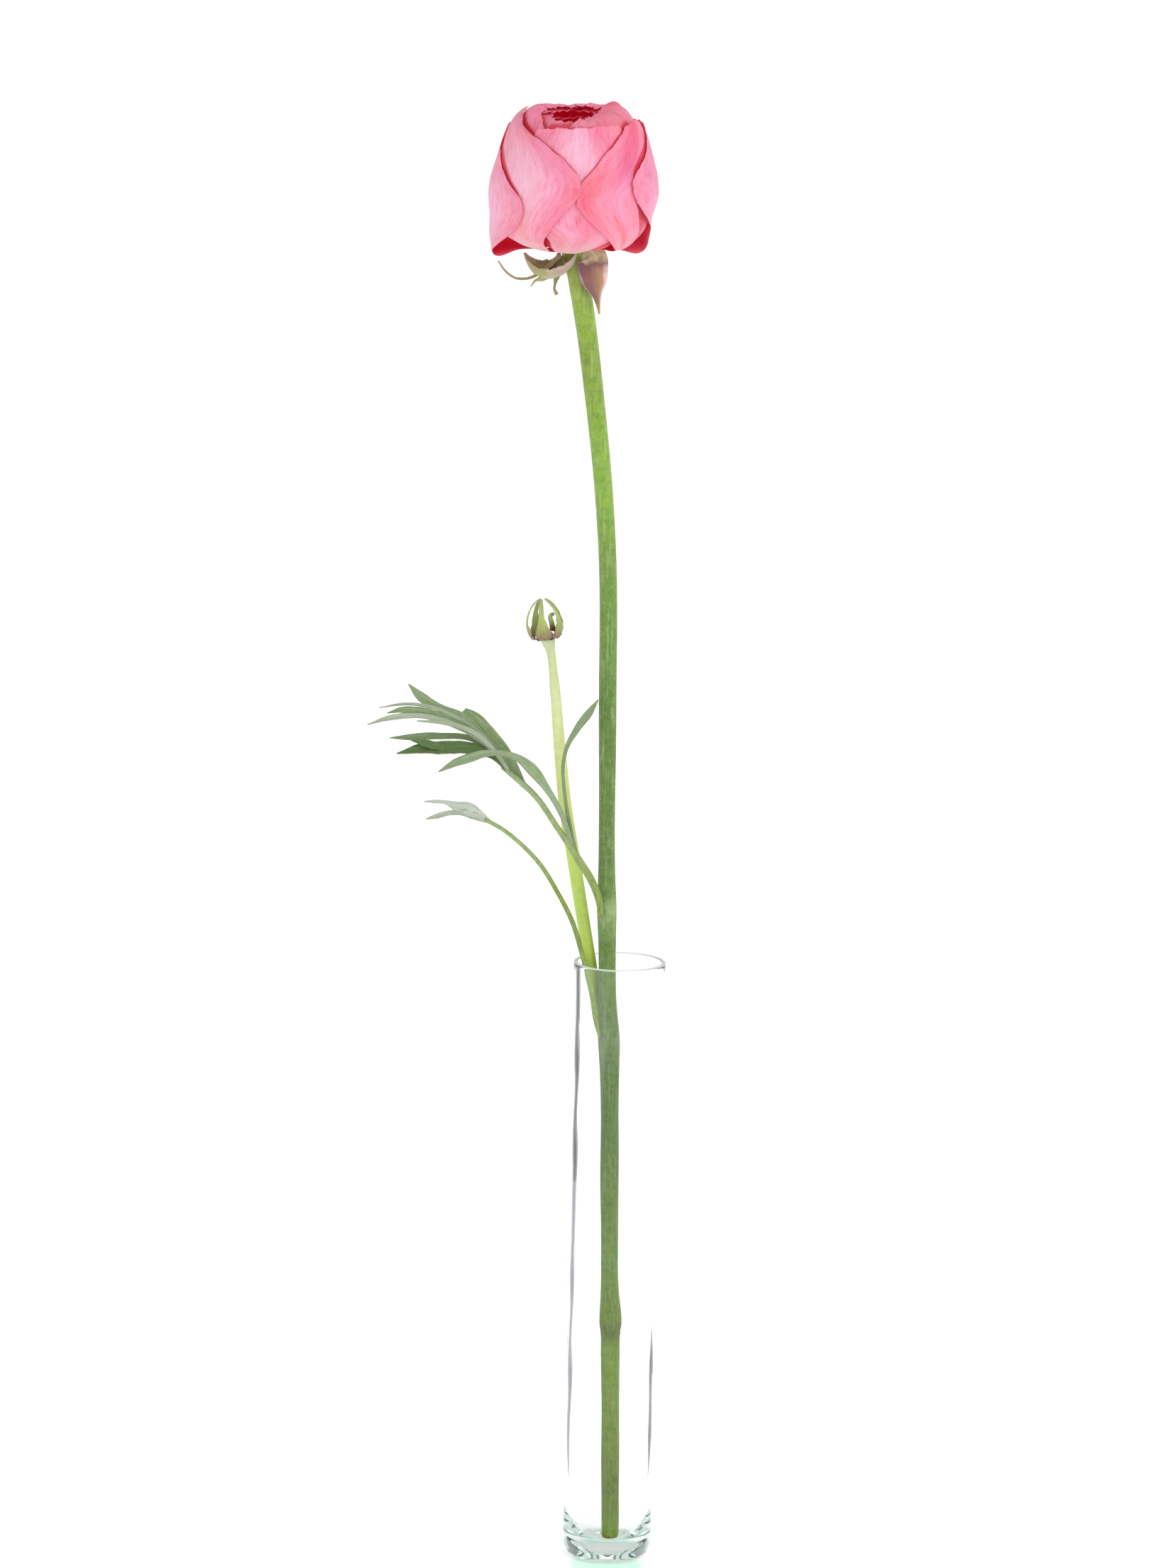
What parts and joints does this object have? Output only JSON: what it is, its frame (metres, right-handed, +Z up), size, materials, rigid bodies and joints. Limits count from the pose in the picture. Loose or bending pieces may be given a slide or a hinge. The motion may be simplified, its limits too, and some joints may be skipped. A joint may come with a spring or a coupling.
{
  "type": "ranunculus flower in a glass tube vase",
  "caption": "Cut ranunculus in a slim clear glass tube vase: a full layered pink bloom with hanging sepals, a small side bud and divided leaves on hairy green stems.",
  "frame": {"origin": "centre of the vase's flat underside", "axes": "+Z up along the vase's axis, -Y to the front, +X to the right seen from the front; the bloom leans to -X"},
  "size_m": [0.0839, 0.0437, 0.4078],
  "materials": {
    "vase_glass": "clear, faintly green, slightly wavy drawn glass",
    "hairy_stem": "matte green with fine whitish hairs",
    "young_stem": "satin yellow green, paler towards the bud",
    "petal": "satin pink with crimson inner faces and pale veined claws",
    "withered_sepal": "dry, papery, pale with purple brown centre and yellow green tip",
    "bud_sepal": "soft satin yellow green with purple brown bases",
    "leaf": "matte grey green with pale undersides"
  },
  "bodies": {
    "root": {"bud_inner_sepal": "bud_sepal", "bud_sepal_1": "bud_sepal", "bud_sepal_2": "bud_sepal", "bud_sepal_3": "bud_sepal", "bud_sepal_4": "bud_sepal", "bud_sepal_5": "bud_sepal", "divided_leaf": "leaf", "glass_vase": "vase_glass", "lower_leaf": "leaf", "main_stem": "hairy_stem", "petal_01": "petal", "petal_02": "petal", "petal_03": "petal", "petal_04": "petal", "petal_05": "petal", "petal_06": "petal", "petal_07": "petal", "petal_08": "petal", "petal_09": "petal", "petal_10": "petal", "petal_11": "petal", "petal_12": "petal", "petal_13": "petal", "petal_14": "petal", "petal_15": "petal", "petal_16": "petal", "petal_17": "petal", "petal_18": "petal", "petal_19": "petal", "petal_20": "petal", "petal_21": "petal", "petal_22": "petal", "petal_23": "petal", "petal_24": "petal", "petal_25": "petal", "petal_26": "petal", "petal_27": "petal", "petal_28": "petal", "petal_29": "petal", "petal_30": "petal", "petal_31": "petal", "petal_32": "petal", "petal_33": "petal", "sepal_1": "withered_sepal", "sepal_2": "withered_sepal", "sepal_3": "withered_sepal", "sepal_4": "withered_sepal", "sepal_5": "withered_sepal", "side_stem": "young_stem"}
  },
  "joints": []
}
